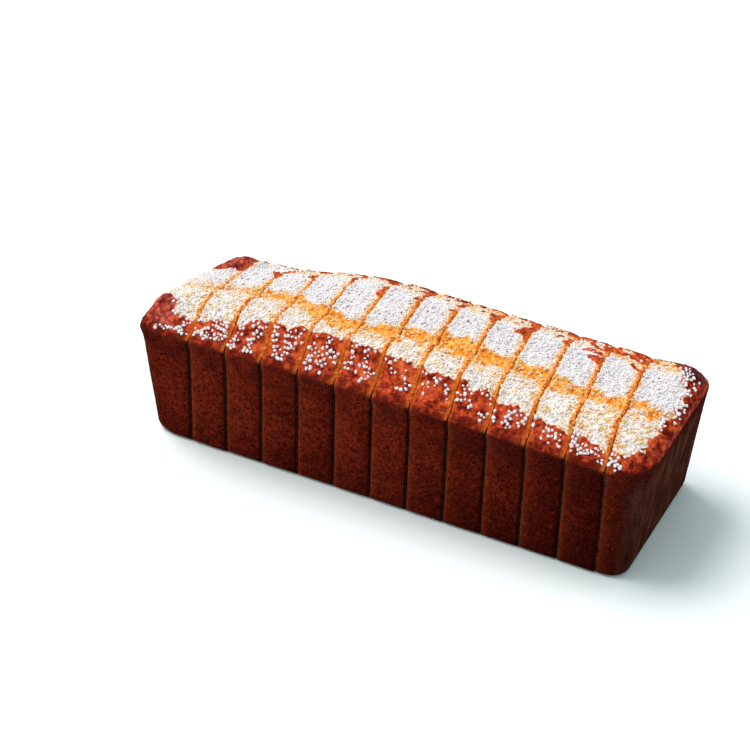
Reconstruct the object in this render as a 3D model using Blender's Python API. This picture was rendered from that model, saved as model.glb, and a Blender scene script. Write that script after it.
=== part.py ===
"""Sliced pound cake loaf with nib sugar on its cracked top, in metres, +Z up.

The loaf runs along X and stands on z = 0 with its box centred on the origin. Its long
walls flare a little and roll over a lip into a domed top. Twelve slanting knife cuts part
it into thirteen slices, two of them heels, each shifted a little in the row as they settled.
"""
import bpy
import bmesh
from math import cos, exp, pi, radians, sin, tan
from mathutils import Matrix, Vector, noise
from mathutils.bvhtree import BVHTree
from random import Random

# Row of slices
SLICES = 13
PITCH = 0.024              # one slice and its cut
GAP = 0.0009               # knife cut between two slices
CUT_LEAN = 0.0030          # how far a cut leans to +X by the height of the lip
SKEW_FIRST = radians(0.4)  # slant of the first cut in plan, and of the last
SKEW_LAST = radians(7.0)
HEEL_LEFT = 1.14 * PITCH   # thickness of the heels at the front of the base
HEEL_RIGHT = 0.70 * PITCH
ROW = (SLICES - 2) * PITCH + HEEL_LEFT + HEEL_RIGHT
LIFT = (-0.0004, 0.0005)   # how unevenly the slices stand
SHIFT = 0.0003

# Section across the loaf
BASE_HALF = 0.0509         # half width where it stands
LIP_HALF = 0.0524          # half width at the lip
LIP_HEIGHT = 0.0840        # height of the lip at mid length
LIP_SAG = 0.0024           # how much lower the lip is at the ends
LIP_BULGE = 0.0016         # roll of crust just under the lip
BULGE_LEVEL = 0.93         # its place and its span, as parts of the lip's height
BULGE_SPAN = 0.055
LIP_ROUND = 0.0024
LIP_TURN = (0.20, 0.35)    # where the wall ends at the lip: in and down, as parts of its round
BASE_ROUND = 0.0034
BASE_INNER = 0.4           # inner points of the base, as a part of its half width
CREST = 0.0150             # dome over the lip at mid length
CREST_SAG = 0.0060         # how much less at the ends
FRONT_FOOT = -0.0485       # where the dome starts to rise and where it is full
FRONT_FULL = -0.0310
BACK_FULL = 0.0170
BACK_FOOT = 0.0530
CRACK_Y = -0.0120          # the crack wanders along this line
CRACK_SWAY = 0.0030
SWAY_LONG = 0.0210         # lengths over which it wanders
SWAY_SHORT = 0.0087
SWAY_SHARE = 0.6           # share of the longer one
SWAY_PHASE = 1.0
CRACK_DEPTH = 0.0024
CRACK_WIDTH = 0.0042
DIP_DEPTH = 0.0010         # shallow gutter inside the front lip
DIP_WIDTH = 0.0022

# Ends
END_FLARE = 0.0105         # the end walls lean out by this much at the lip
LEFT_SLANT = radians(10.0) # the left end is out of square
LEFT_CORNER = (0.0110, 0.0110)     # upright corners at the lip, front and back
RIGHT_CORNER = (0.0220, 0.0100)
BASE_CORNER = 0.0080       # and at the base of both ends
LEFT_RUN = 0.0120          # how far from an end wall its corners start
RIGHT_RUN = 0.0170
LEFT_LIP_ROUND = 0.0070    # how much lower the lip is at each end wall
RIGHT_LIP_ROUND = 0.0030
END_BASE_ROUND = 0.0035    # how much higher the base is there
LEFT_ROLL = (0.0060, 0.0060)       # how round the heels are over their lips, front and back
RIGHT_ROLL = (0.0130, 0.0040)
ROLL_REACH = 0.40          # part of a heel over which its lip gets that round
MOST_BEND = 0.9            # most of a heel that its corners may take up
LEFT_DOME = 0.05           # part of the dome that is left at each end wall
RIGHT_DOME = 0.35
SLUMP = 0.0130             # the loaf rose less toward its back left corner
SLUMP_RUN = 0.0900
SLUMP_FROM = -0.0300
SLUMP_SPAN = 0.0800
KNOBS = (                  # bare swellings of crust at three corners: X, Y, height, size
    (-0.1526, -0.0414, 0.0035, 0.0105),
    (-0.1325, 0.0335, 0.0058, 0.0108),
    (0.1490, 0.0390, 0.0094, 0.0108),
)

# Crust near a cut
LEFT_DROP = 0.0006
LEFT_REACH = 0.0015
RIGHT_DROP = 0.0019
RIGHT_REACH = 0.0028
LUMP = 0.0011              # uneven rise of the top
LUMP_SIZE = 0.017
WAVE = 0.0004              # uneven walls
WAVE_SIZE = 0.030
WAVE_APART = 0.3           # the two walls take their waves from places this far apart

# Colour and finish of the crust
CRUST_COLOUR = (0.36, 0.11, 0.045)
CRUST_ROUGHNESS = 0.55

# Sugar
GRAIN = 0.0012             # radius of the largest grains
GRAIN_ROUGH = 0.86         # how far in a corner of a grain may lie
GRAIN_LEAST = 0.8          # least size and width, as parts of the largest
GRAIN_FLAT = (0.75, 0.95)
GRAIN_TIP = 0.5
GRAIN_RISE = 0.15          # its middle over the crust, as a part of its radius
GRAINS_A_SLICE = 18
GRAIN_SPACING = 0.0068
GRAIN_MARGIN = 0.0016      # free of the cuts
SUGAR_HALF = 0.0400        # half width of the sugared field
HEEL_FIELD = 0.35          # bare part of a heel, from its end wall
CRACK_BARE = 0.8           # how seldom a grain stays in the crack
TRIES = 3000
SEED = 41

TOP_STEPS = 12
CRACK_STEP = 7             # the step over the top that the crack takes the place of
WALL_LEVELS = (0.28, 0.55, 0.78, 0.89, 0.96)
STATIONS = (0.0, 0.07, 0.3, 0.6, 0.86, 1.0)
ROUND_STEPS = 3


def clear_scene():
    for thing in list(bpy.data.objects):
        bpy.data.objects.remove(thing, do_unlink=True)


def smooth(value):
    value = min(max(value, 0.0), 1.0)
    return value * value * (3.0 - 2.0 * value)


def along(x):
    """Place along the loaf, -1 at the left end and 1 at the right."""
    return x / (SLICES * PITCH * 0.5)


def lip_height(x, y):
    leftward = smooth((cut_place(0) + SLUMP_RUN - x) / SLUMP_RUN)
    backward = smooth((y - SLUMP_FROM) / SLUMP_SPAN)
    return LIP_HEIGHT - LIP_SAG * along(x) ** 2 - SLUMP * leftward * backward


def crack_line(x):
    wide = SWAY_SHARE * sin(x / SWAY_LONG)
    narrow = (1.0 - SWAY_SHARE) * sin(x / SWAY_SHORT + SWAY_PHASE)
    return CRACK_Y + CRACK_SWAY * (wide + narrow)


def knobs(x, y):
    """How much the bare swellings by the corners stand over the crust."""
    rise = 0.0
    for centre_x, centre_y, height, size in KNOBS:
        away = ((x - centre_x) ** 2 + (y - centre_y) ** 2) / size ** 2
        rise += height * exp(-away)
    return rise


def top_height(x, y):
    """Height of the crust over the lip: a dome, steep in front, with a crack and a gutter."""
    crest = CREST - CREST_SAG * along(x) ** 2
    rise = smooth((y - FRONT_FOOT) / (FRONT_FULL - FRONT_FOOT))
    fall = 1.0 - smooth((y - BACK_FULL) / (BACK_FOOT - BACK_FULL))
    crack = CRACK_DEPTH * exp(-((y - crack_line(x)) / CRACK_WIDTH) ** 2)
    gutter = DIP_DEPTH * exp(-((y - FRONT_FOOT) / DIP_WIDTH) ** 2)
    lump = LUMP * rise * fall * noise.noise(Vector((x, y, 0.0)) / LUMP_SIZE)
    return lip_height(x, y) + crest * rise * fall - crack - gutter + lump + knobs(x, y)


def wall_half(level):
    """Half width of the loaf at a level from 0 at the base to 1 at the lip."""
    bulge = LIP_BULGE * exp(-((level - BULGE_LEVEL) / BULGE_SPAN) ** 2)
    return BASE_HALF + (LIP_HALF - BASE_HALF) * level + bulge


def round_corner(aside, under, radius):
    """Moves a point of a square corner, so far aside from one face or under the other, onto an arc."""
    far = max(aside, under)
    if far >= radius:
        return aside, under
    angle = pi / 4 * (1.0 + far / radius)
    near = radius * (1.0 - sin(angle))
    far = radius * (1.0 - cos(angle))
    return (far, near) if aside > under else (near, far)


def side_points(x, side, roll):
    """One side of the outline, from the base up to the lip."""
    lip = lip_height(x, side * LIP_HALF)
    tuck = BASE_ROUND * (1.0 - cos(pi / 4))
    points = [(side * (BASE_HALF - BASE_ROUND), 0.0)]
    points.append((side * (BASE_HALF - tuck), tuck))
    points.append((side * BASE_HALF, BASE_ROUND))
    upper = []
    for level in WALL_LEVELS:
        wave = WAVE * noise.noise(Vector((x, side * WAVE_APART, level * lip)) / WAVE_SIZE)
        upper.append((wall_half(level) + wave, level * lip))
    upper.append((LIP_HALF - LIP_ROUND * LIP_TURN[0], lip - LIP_ROUND * LIP_TURN[1]))
    for half, z in upper:
        aside, under = round_corner(0.0, lip - z, roll)
        points.append((side * (half - aside), lip - under))
    return points


def top_point(x, y, drop, rolls):
    aside, under = round_corner(LIP_HALF - abs(y), 0.0, rolls[y > 0.0])
    z = top_height(x, y) - drop - under
    return (LIP_HALF - aside if y > 0.0 else aside - LIP_HALF), z


def outline(x, drop, rolls):
    """Closed outline of the loaf across X, as (y, z): base, back, top, front."""
    points = [(-BASE_HALF * BASE_INNER, 0.0), (BASE_HALF * BASE_INNER, 0.0)]
    points += side_points(x, 1, rolls[1])
    reach = LIP_HALF - LIP_ROUND
    across = [reach * cos(pi * step / TOP_STEPS) for step in range(TOP_STEPS + 1)]
    crack = crack_line(x)
    across[CRACK_STEP:CRACK_STEP + 1] = [crack + CRACK_WIDTH, crack, crack - CRACK_WIDTH]
    points += [top_point(x, y, drop, rolls) for y in across]
    points += reversed(side_points(x, -1, rolls[0]))
    return points


def cut_place(index):
    """Where a cut meets the front of the base."""
    return HEEL_LEFT - 0.5 * ROW + index * PITCH


def cut_skew(index):
    return SKEW_FIRST + (SKEW_LAST - SKEW_FIRST) * index / (SLICES - 2)


def cut_x(index, y, z):
    """X of a knife cut; index -1 and SLICES - 1 are the two end walls."""
    lean = z / LIP_HEIGHT
    if index < 0:
        return cut_place(0) - HEEL_LEFT - END_FLARE * lean + (y + BASE_HALF) * tan(LEFT_SLANT)
    if index > SLICES - 2:
        return cut_place(SLICES - 2) + HEEL_RIGHT + END_FLARE * lean
    return cut_place(index) + CUT_LEAN * lean - (y + BASE_HALF) * tan(cut_skew(index))


class Slice:
    """Slice number, from 0 at the left heel, and the shape of its crust."""

    def __init__(self, number):
        self.number = number
        self.first = number == 0
        self.last = number == SLICES - 1
        dice = Random(SEED + number)
        self.lift = dice.uniform(*LIFT)
        self.shift = dice.uniform(-SHIFT, SHIFT)
        self.corner = LEFT_CORNER if self.first else RIGHT_CORNER
        self.run = LEFT_RUN if self.first else RIGHT_RUN
        self.dome = LEFT_DOME if self.first else RIGHT_DOME
        self.lip_round = LEFT_LIP_ROUND if self.first else RIGHT_LIP_ROUND

    def x_at(self, part, y, z):
        left = cut_x(self.number - 1, y, z) + (0.0 if self.first else GAP / 2)
        right = cut_x(self.number, y, z) - (0.0 if self.last else GAP / 2)
        return left + (right - left) * part

    def drop(self, part):
        """The crust rounds down toward the cuts, more on the right."""
        thick = self.x_at(1.0, 0.0, 0.0) - self.x_at(0.0, 0.0, 0.0)
        left = 0.0 if self.first else LEFT_DROP * exp(-part * thick / LEFT_REACH)
        right = 0.0 if self.last else RIGHT_DROP * exp(-(1.0 - part) * thick / RIGHT_REACH)
        return left + right - self.lift

    def rolls(self, part):
        """How round the slice is over its lips: only a heel rounds more than the row."""
        if self.first:
            return [roll * smooth((1.0 - part) / ROLL_REACH) for roll in LEFT_ROLL]
        if self.last:
            return [roll * smooth(part / ROLL_REACH) for roll in RIGHT_ROLL]
        return 0.0, 0.0

    def ring(self, part, inset=0.0):
        """Outline at a part of the thickness, drawn in by inset (0 to 1) round an end."""
        middle = self.x_at(part, 0.0, 0.0)
        ring = []
        for y, z in outline(middle, self.drop(part), self.rolls(part)):
            low = END_BASE_ROUND * inset
            high = self.lip_round * inset
            dome = max(z - lip_height(middle, y), 0.0)
            wall = (z - dome) * (1.0 - (low + high) / LIP_HEIGHT)
            z = low + wall + dome * (1.0 - (1.0 - self.dome) * inset)
            corner = self.corner[y > 0.0]
            corner = BASE_CORNER + (corner - BASE_CORNER) * min(z / LIP_HEIGHT, 1.0)
            y = y * (1.0 - corner * inset / LIP_HALF) + self.shift
            ring.append(Vector((self.x_at(part, y, z), y, z)))
        return ring

    def rings(self):
        """Outlines from left to right, with the rounding of an end wall where there is one."""
        thick = self.x_at(1.0, 0.0, 0.0) - self.x_at(0.0, 0.0, 0.0)
        bend = min(self.run / thick, MOST_BEND)
        rings = []
        for part in STATIONS:
            if self.first and part < bend:
                continue
            if self.last and part > 1.0 - bend:
                continue
            rings.append(self.ring(part))
        arc = [pi / 2 * step / ROUND_STEPS for step in range(ROUND_STEPS + 1)]
        ends = [(1.0 - bend * (1.0 - sin(angle)), 1.0 - cos(angle)) for angle in arc]
        if self.last:
            rings += [self.ring(part, inset) for part, inset in ends]
        if self.first:
            rings = [self.ring(1.0 - part, inset) for part, inset in reversed(ends)] + rings
        return rings


def crust_material(name):
    material = bpy.data.materials.new(name)
    material.use_nodes = True
    shader = material.node_tree.nodes["Principled BSDF"]
    shader.inputs["Base Color"].default_value = (*CRUST_COLOUR, 1.0)
    shader.inputs["Roughness"].default_value = CRUST_ROUGHNESS
    shader.inputs["Metallic"].default_value = 0.0
    return material


def loft(piece):
    """Extrude the first outline through the others, so that the slice is closed."""
    rings = piece.rings()
    mesh = bmesh.new()
    place = mesh.verts.layers.int.new("place")
    start = [mesh.verts.new(point) for point in rings[0]]
    for number, vert in enumerate(start):
        vert[place] = number
    first_cap = mesh.faces.new(start)
    cap = first_cap
    for ring in rings[1:]:
        made = bmesh.ops.extrude_face_region(mesh, geom=[cap])["geom"]
        if cap is not first_cap:
            mesh.faces.remove(cap)
        cap = next(item for item in made if isinstance(item, bmesh.types.BMFace))
        for vert in cap.verts:
            vert.co = ring[vert[place]]
    mesh.verts.layers.int.remove(mesh.verts.layers.int["place"])
    bmesh.ops.triangulate(mesh, faces=mesh.faces[:], quad_method="SHORT_EDGE")
    bmesh.ops.recalc_face_normals(mesh, faces=mesh.faces[:])
    return mesh


def grain_places(piece, crust):
    """Evenly spread spots in the sugared field of one slice, kept apart from each other."""
    dice = Random(SEED * 100 + piece.number)
    surface = BVHTree.FromBMesh(crust)
    level = LIP_HEIGHT + CREST
    thick = piece.x_at(1.0, 0.0, level) - piece.x_at(0.0, 0.0, level)
    edge = (GRAIN_MARGIN + GRAIN) / thick
    low = HEEL_FIELD if piece.first else edge
    high = 1.0 - HEEL_FIELD if piece.last else 1.0 - edge
    spots = []
    for _ in range(TRIES):
        if len(spots) == GRAINS_A_SLICE:
            break
        y = dice.uniform(-SUGAR_HALF, SUGAR_HALF)
        x = piece.x_at(dice.uniform(low, high), y, level)
        above = Vector((x, y, level + CREST))
        spot = surface.ray_cast(above, Vector((0.0, 0.0, -1.0)))[0]
        in_crack = abs(y - crack_line(x)) < CRACK_WIDTH
        if in_crack and dice.random() < CRACK_BARE:
            continue
        if all((spot - other).length > GRAIN_SPACING for other in spots):
            spots.append(spot)
    return spots


def add_grains(piece, crust, collection):
    """Rough sugar nibs, each sunk to just below its middle in the crust."""
    dice = Random(SEED * 1000 + piece.number)
    for spot in grain_places(piece, crust):
        mesh = bmesh.new()
        bmesh.ops.create_icosphere(mesh, subdivisions=1, radius=1.0)
        for vert in mesh.verts:
            vert.co *= dice.uniform(GRAIN_ROUGH, 1.0)
        size = GRAIN * dice.uniform(GRAIN_LEAST, 1.0)
        width = size * dice.uniform(GRAIN_LEAST, 1.0)
        shape = Vector((size, width, size * dice.uniform(*GRAIN_FLAT)))
        turn = Matrix.Rotation(dice.uniform(0.0, 2 * pi), 4, "Z")
        tip = Matrix.Rotation(dice.uniform(-GRAIN_TIP, GRAIN_TIP), 4, "X")
        middle = spot + Vector((0.0, 0.0, GRAIN_RISE * GRAIN))
        bmesh.ops.scale(mesh, vec=shape, verts=mesh.verts[:])
        bmesh.ops.transform(mesh, matrix=turn @ tip, verts=mesh.verts[:])
        bmesh.ops.translate(mesh, vec=middle, verts=mesh.verts[:])
        data = bpy.data.meshes.new("sugar_grain")
        mesh.to_mesh(data)
        mesh.free()
        collection.objects.link(bpy.data.objects.new("sugar_grain", data))


def fuse(thing, collection):
    """One union of the slice and its grains, applied, with the grains then removed."""
    union = thing.modifiers.new("grains", "BOOLEAN")
    union.operation = "UNION"
    union.operand_type = "COLLECTION"
    union.collection = collection
    union.solver = "EXACT"
    bpy.context.view_layer.update()
    graph = bpy.context.evaluated_depsgraph_get()
    joined = bpy.data.meshes.new_from_object(thing.evaluated_get(graph))
    thing.modifiers.clear()
    thing.data = joined
    for grain in list(collection.objects):
        bpy.data.objects.remove(grain, do_unlink=True)
    bpy.data.collections.remove(collection)


def make_slice(number):
    piece = Slice(number)
    name = "slice_%02d" % (number + 1)
    mesh = loft(piece)
    data = bpy.data.meshes.new(name)
    mesh.to_mesh(data)
    thing = bpy.data.objects.new(name, data)
    bpy.context.scene.collection.objects.link(thing)
    grains = bpy.data.collections.new(name + "_grains")
    bpy.context.scene.collection.children.link(grains)
    add_grains(piece, mesh, grains)
    mesh.free()
    fuse(thing, grains)
    thing.data.materials.clear()
    thing.data.materials.append(crust_material(name + "_crust"))
    return thing


def stand_on_origin(things):
    """Centre the whole row's box over the origin, with its underside at z = 0."""
    corners = [vert.co for thing in things for vert in thing.data.vertices]
    low = Vector([min(corner[axis] for corner in corners) for axis in range(3)])
    high = Vector([max(corner[axis] for corner in corners) for axis in range(3)])
    shift = Vector((-(low.x + high.x) / 2, -(low.y + high.y) / 2, -low.z))
    for thing in things:
        thing.data.transform(Matrix.Translation(shift))


clear_scene()
loaf = [make_slice(number) for number in range(SLICES)]
stand_on_origin(loaf)
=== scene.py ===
from math import cos, exp, floor, pi, radians, sin, tan
from random import Random
import bpy
import bmesh
import numpy as np
from mathutils import Euler, Matrix, Vector, noise
from mathutils.bvhtree import BVHTree


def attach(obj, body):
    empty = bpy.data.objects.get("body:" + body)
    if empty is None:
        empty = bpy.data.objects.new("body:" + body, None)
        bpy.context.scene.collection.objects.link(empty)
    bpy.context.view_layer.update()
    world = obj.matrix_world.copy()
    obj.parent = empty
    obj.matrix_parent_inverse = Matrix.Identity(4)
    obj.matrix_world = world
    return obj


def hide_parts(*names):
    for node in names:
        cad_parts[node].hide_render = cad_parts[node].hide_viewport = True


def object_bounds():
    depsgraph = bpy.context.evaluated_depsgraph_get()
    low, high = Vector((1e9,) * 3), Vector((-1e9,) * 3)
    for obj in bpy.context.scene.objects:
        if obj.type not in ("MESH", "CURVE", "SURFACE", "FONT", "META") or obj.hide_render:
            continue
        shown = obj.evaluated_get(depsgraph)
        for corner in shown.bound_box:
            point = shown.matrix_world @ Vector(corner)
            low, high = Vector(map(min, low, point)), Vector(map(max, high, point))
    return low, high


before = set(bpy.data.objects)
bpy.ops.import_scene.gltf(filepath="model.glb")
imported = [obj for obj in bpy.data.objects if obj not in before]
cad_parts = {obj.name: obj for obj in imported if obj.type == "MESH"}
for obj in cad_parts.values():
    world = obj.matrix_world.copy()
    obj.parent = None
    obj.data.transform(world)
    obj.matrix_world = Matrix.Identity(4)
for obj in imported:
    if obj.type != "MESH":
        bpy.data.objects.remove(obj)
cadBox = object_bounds()
print("frame:", len(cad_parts), "slices from the CAD")


class Value:  # a socket of a material, with maths on it
    def __init__(self, recipe, socket):
        self.recipe = recipe
        self.socket = socket

    def maths(self, operation, first, second=0.0, clamp=False):
        settings = {"operation": operation, "use_clamp": clamp}
        return self.recipe.node("Math", settings, {0: first, 1: second})

    def __add__(self, other):
        return self.maths("ADD", self, other)

    def __sub__(self, other):
        return self.maths("SUBTRACT", self, other)

    def __rsub__(self, other):
        return self.maths("SUBTRACT", other, self)

    def __mul__(self, other):
        return self.maths("MULTIPLY", self, other)

    def clamped(self):
        return self.maths("MULTIPLY", self, 1.0, clamp=True)

    def spread(self, low, high):  # 0 at low, 1 at high, smooth between them
        settings = {"interpolation_type": "SMOOTHSTEP"}
        return self.recipe.node("MapRange", settings, {0: self, 1: low, 2: high, 3: 0.0, 4: 1.0})

    __radd__ = __add__
    __rmul__ = __mul__


class Recipe:  # one material and its nodes
    def __init__(self, name, roughness, gloss=0.5):
        self.material = bpy.data.materials.new(name)
        self.material.use_nodes = True
        self.tree = self.material.node_tree
        self.shader = self.tree.nodes["Principled BSDF"]
        self.shader.inputs["Roughness"].default_value = roughness
        self.shader.inputs["Specular IOR Level"].default_value = gloss
        self.place = self.node("TexCoord", output="Object")

    def feed(self, socket, value):
        if isinstance(value, Value):
            self.tree.links.new(value.socket, socket)
        elif isinstance(value, tuple) and len(value) == 3 and socket.type == "RGBA":
            socket.default_value = (*value, 1.0)
        else:
            socket.default_value = value

    def node(self, kind, settings={}, inputs={}, output=0):
        made = self.tree.nodes.new("ShaderNode" + kind)
        for key, value in settings.items():
            if key == "stops":
                self.fillRamp(made.color_ramp, value)
            else:
                setattr(made, key, value)
        for key, value in inputs.items():
            self.feed(made.inputs[key], value)
        return Value(self, made.outputs[output])

    def fillRamp(self, ramp, stops):
        while len(ramp.elements) < len(stops):
            ramp.elements.new(0.5)
        for element, (at, colour) in zip(ramp.elements, stops):
            element.position = at
            element.color = (*colour, 1.0)

    def noise(self, size, detail=2.0, rough=0.5, warp=0.0, stretch=None):  # size of a feature in metres
        place = self.place
        if stretch:
            place = self.node("VectorMath", {"operation": "MULTIPLY"}, {0: place, 1: stretch})
        inputs = {"Vector": place, "Scale": 1.0 / size, "Detail": detail,
                  "Roughness": rough, "Distortion": warp}
        return self.node("TexNoise", {}, inputs, "Fac")

    def cells(self, size):
        inputs = {"Vector": self.place, "Scale": 1.0 / size}
        return self.node("TexVoronoi", {"feature": "F1"}, inputs, "Distance")

    def mark(self, name):
        return self.node("Attribute", {"attribute_name": name}, output="Fac")

    def ramp(self, value, stops):
        return self.node("ValToRGB", {"stops": stops}, {"Fac": value}, "Color")

    def mix(self, under, over, amount):
        settings = {"data_type": "RGBA", "clamp_factor": True}
        return self.node("Mix", settings, {0: amount, 6: under, 7: over}, 2)

    def bump(self, height, distance, strength=1.0):
        inputs = {"Height": height, "Distance": distance, "Strength": strength}
        self.feed(self.shader.inputs["Normal"], self.node("Bump", {}, inputs, "Normal"))

    def set(self, **sockets):
        for key, value in sockets.items():
            self.feed(self.shader.inputs[key.replace("_", " ")], value)


crustLook = {
    "wallDark": (0.030, 0.0026, 0.0018),
    "wallMid": (0.094, 0.0078, 0.0040),
    "wallLight": (0.205, 0.0220, 0.0080),
    # dark pores, and the painted shade at the right edge of each wall
    "wallPoreAndShade": (0.010, 0.0014, 0.0010),
    "wallRim": (0.046, 0.0052, 0.0048),
    # painted highlight on the left edge of each slice's wall
    "wallEdgeHighlight": (0.430, 0.0580, 0.0150),
    "endDark": (0.020, 0.0055, 0.0042),
    "endMid": (0.058, 0.0155, 0.0098),
    "endPale": (0.110, 0.0360, 0.0230),
    "shoulderDark": (0.130, 0.0075, 0.0045),
    "shoulderMid": (0.400, 0.0380, 0.0140),
    "shoulderLight": (0.700, 0.0920, 0.0250),
    "shoulderPale": (0.850, 0.2250, 0.0800),
    # knob colours: the dark end also serves as painted shade in the wrinkle creases, the light end as a
    # painted highlight on the bumps
    "knobDarkAndCreaseShade": (0.060, 0.0040, 0.0045),
    "knobMid": (0.270, 0.0210, 0.0150),
    "knobLightAndHighlight": (0.640, 0.1050, 0.0600),
    "goldDeep": (0.700, 0.1500, 0.0150),
    "gold": (0.930, 0.3400, 0.0420),
    "goldPale": (0.960, 0.5600, 0.1800),
    "stripDeep": (0.740, 0.1300, 0.0180),
    "strip": (0.970, 0.3800, 0.0800),
    "stripPale": (0.985, 0.6200, 0.2700),
    "bedCrust": (0.820, 0.3800, 0.1900),
    "bedCream": (0.930, 0.7000, 0.5600),
    "bedWhite": (0.950, 0.8700, 0.8900),
}
crustSizes = {                 # sizes of what shows in the crust
    "slow": 0.0180,            # slow changes of tone along the walls
    "streak": 0.0068,          # on the ends, three times as high
    "scorch": 0.0048,
    "wrinkle": 0.0044,         # on the bare knobs
    "pore": 0.0030,
    "patch": 0.0027,
    "speck": 0.0023,
    "skin": 0.0021,
    "grain": 0.0013,
    "fine": 0.0005,
    "bump": 0.0009,            # how high the bumps are
}


def crustMaterial():
    look, sizes = crustLook, crustSizes
    recipe = Recipe("bakedCrust", 0.6, 0.0)
    wall, field, bed, end = [recipe.mark(name) for name in ("wall", "field", "bed", "end")]
    rim, knob, tone = [recipe.mark(name) for name in ("rim", "knob", "tone")]
    leftEdge, rightEdge = recipe.mark("leftEdge"), recipe.mark("rightEdge")
    slow = recipe.noise(sizes["slow"])
    patch = recipe.noise(sizes["patch"], 3.0, 0.65)
    grain = recipe.noise(sizes["grain"], 3.0, 0.65)
    skin = recipe.noise(sizes["skin"], 2.0, 0.7, 0.4)
    pore = recipe.cells(sizes["pore"])
    speck = recipe.cells(sizes["speck"])
    wallTone = recipe.ramp(grain * 0.34 + skin * 0.40 + slow * 0.13 + tone * 0.13, (
        (0.38, look["wallDark"]), (0.49, look["wallMid"]), (0.61, look["wallLight"])))
    wallTone = recipe.mix(wallTone, look["wallRim"], rim * 0.65)
    wallTone = recipe.mix(wallTone, look["wallLight"], (1.0 - speck.spread(0.05, 0.30)) * 0.40)
    wallTone = recipe.mix(wallTone, look["wallPoreAndShade"], (1.0 - pore.spread(0.08, 0.34)) * 0.85)
    # painted highlight along the left edge of each slice's wall
    wallTone = recipe.mix(wallTone, look["wallEdgeHighlight"], leftEdge * (skin * 1.5).clamped())
    # painted shade along the right edge of each slice's wall and in its gap
    wallTone = recipe.mix(wallTone, look["wallPoreAndShade"], rightEdge * 0.85)
    streak = recipe.noise(sizes["streak"], stretch=(1.0, 1.0, 0.30))
    endTone = recipe.ramp(streak * 0.6 + grain * 0.4, (
        (0.36, look["endDark"]), (0.50, look["endMid"]), (0.68, look["endPale"])))
    wallTone = recipe.mix(wallTone, endTone, end)
    scorch = recipe.noise(sizes["scorch"], 2.0, 0.6)
    shoulder = recipe.ramp(scorch * 0.50 + patch * 0.28 + grain * 0.22 - wall * 0.22, (
        (0.40, look["shoulderDark"]), (0.48, look["shoulderMid"]),
        (0.55, look["shoulderLight"]), (0.66, look["shoulderPale"])))
    # the knob tone follows the wrinkles: painted shade in the creases between the bumps and a painted
    # highlight on their tops, over its own mottled tone; also darker towards the walls
    wrinkle = recipe.cells(sizes["wrinkle"])
    knobTone = recipe.ramp(patch * 0.60 + grain * 0.40 - wrinkle * 0.34 + tone * 0.14 - wall * 0.45, (
        (0.22, look["knobDarkAndCreaseShade"]), (0.38, look["knobMid"]), (0.54, look["knobLightAndHighlight"])))
    shoulder = recipe.mix(shoulder, knobTone, knob)
    gold = recipe.ramp(patch * 0.55 + scorch * 0.45, (
        (0.40, look["goldDeep"]), (0.50, look["gold"]), (0.60, look["goldPale"])))
    gold = recipe.mix(gold, look["goldDeep"], (1.0 - speck.spread(0.06, 0.24)) * 0.8)
    top = recipe.mix(shoulder, gold, (field + (patch - 0.5) * 0.9).spread(0.30, 0.70))
    sugary = recipe.ramp(grain * 0.7 + patch * 0.3 + (bed - 0.5) * 0.30, (
        (0.43, look["bedCrust"]), (0.54, look["bedCream"]), (0.64, look["bedWhite"])))
    top = recipe.mix(top, sugary, bed.spread(0.15, 0.55))
    strip = recipe.ramp(patch * 0.6 + grain * 0.4 + (field - 1.0) * 0.16, (
        (0.36, look["stripDeep"]), (0.50, look["strip"]), (0.64, look["stripPale"])))
    top = recipe.mix(top, strip, ((rightEdge + leftEdge * 0.6) * (patch + 0.75)).clamped())
    colour = recipe.mix(top, wallTone, (wall + (patch - 0.5) * 0.7).spread(0.22, 0.78))
    recipe.set(Base_Color=colour, Roughness=0.70 - (1.0 - wall) * 0.20 + (grain - 0.5) * 0.3)
    recipe.set(Coat_Weight=((1.0 - wall) * (1.0 - field) * 0.05 + knob * 0.12).clamped())
    recipe.shader.inputs["Coat Roughness"].default_value = 0.30
    fine = recipe.noise(sizes["fine"])
    height = grain * 0.6 + fine * 0.25 + (pore.spread(0.0, 0.4) * 0.9 + skin) * wall + patch * (1.0 - wall)
    recipe.bump(height - wrinkle * knob * 2.2, sizes["bump"])
    return recipe.material


crumbLook = {
    "pale": (0.800, 0.5800, 0.2300),
    "warm": (0.660, 0.4000, 0.1200),
    "pore": (0.480, 0.2500, 0.0600),
    "ring": (0.420, 0.1100, 0.0160),
    "skin": (0.200, 0.0320, 0.0080),
    "wallSkin": (0.045, 0.0060, 0.0030),
}


def crumbMaterial():
    look = crumbLook
    recipe = Recipe("cakeCrumb", 0.85, 0.2)
    inside, wall = recipe.mark("inside"), recipe.mark("wall")
    grain = recipe.noise(0.0012, 3.0, 0.6)
    pore = recipe.cells(0.0030)
    small = recipe.cells(0.0011)
    tone = recipe.mix(look["warm"], look["pale"], grain.spread(0.30, 0.62))
    tone = recipe.mix(tone, look["pore"], (1.0 - pore.spread(0.06, 0.22)) * 0.8)
    tone = recipe.mix(tone, look["pore"], (1.0 - small.spread(0.05, 0.30)) * 0.45)
    depth = inside + (recipe.noise(0.0025, 3.0) - 0.5) * 0.0022
    tone = recipe.mix(look["ring"], tone, depth.spread(0.0012, 0.0050))
    skin = recipe.mix(look["skin"], look["wallSkin"], wall)
    tone = recipe.mix(skin, tone, (depth - wall * 0.0022).spread(0.0002, 0.0016))
    recipe.set(Base_Color=tone)
    recipe.bump(grain * 0.5 + pore.spread(0.0, 0.3) * 0.6 + small * 0.4, 0.0008)
    return recipe.material


sugarLook = {
    "white": (0.885, 0.7700, 0.7950),
    "shade": (0.845, 0.7150, 0.7450),
    "blush": (0.940, 0.7050, 0.5900),
    "honey": (0.970, 0.5500, 0.2700),
    "syrup": (0.980, 0.4300, 0.0950),
}


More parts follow.
